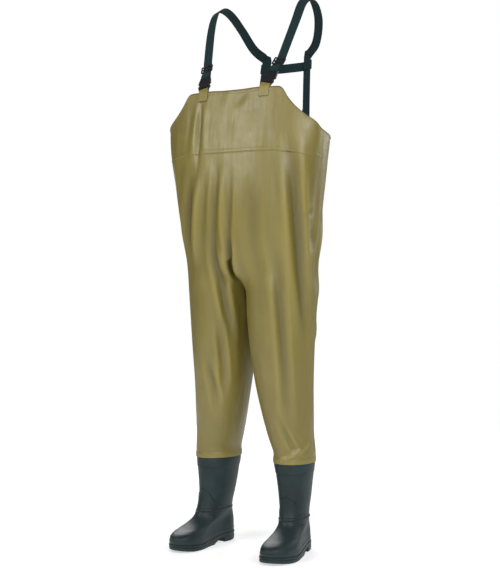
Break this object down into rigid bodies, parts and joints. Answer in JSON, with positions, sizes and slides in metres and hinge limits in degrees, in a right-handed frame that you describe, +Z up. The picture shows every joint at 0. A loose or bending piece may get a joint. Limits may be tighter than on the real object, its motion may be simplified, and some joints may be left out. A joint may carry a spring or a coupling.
{
  "type": "chest wader",
  "caption": "Welded bib trousers with joined rubber boots and adjustable webbing braces that cross-link behind the shoulders.",
  "frame": {"origin": "on the floor, under the middle of the whole wader", "axes": "+Z up, the wearer faces -Y, the wearer's left is +X"},
  "size_m": [0.5152, 0.4222, 1.6736],
  "materials": {
    "coated_fabric": "satin olive coating, glossy inside",
    "boot_rubber": "satin green-black",
    "insole_felt": "matt grey felt",
    "webbing": "woven dark green",
    "black_plastic": "moulded black"
  },
  "bodies": {
    "root": {"trousers": "coated_fabric", "cross_strap": "webbing", "boot_upper_left": "boot_rubber", "outsole_left": "boot_rubber", "insole_left": "insole_felt", "front_tab_left": "coated_fabric", "back_tab_left": "coated_fabric", "buckle_socket_left": "black_plastic", "buckle_plug_left": "black_plastic", "strap_slider_left": "black_plastic", "shoulder_strap_left": "webbing", "back_ring_left": "black_plastic", "boot_upper_right": "boot_rubber", "outsole_right": "boot_rubber", "insole_right": "insole_felt", "front_tab_right": "coated_fabric", "back_tab_right": "coated_fabric", "buckle_socket_right": "black_plastic", "buckle_plug_right": "black_plastic", "strap_slider_right": "black_plastic", "shoulder_strap_right": "webbing", "back_ring_right": "black_plastic"}
  },
  "joints": []
}
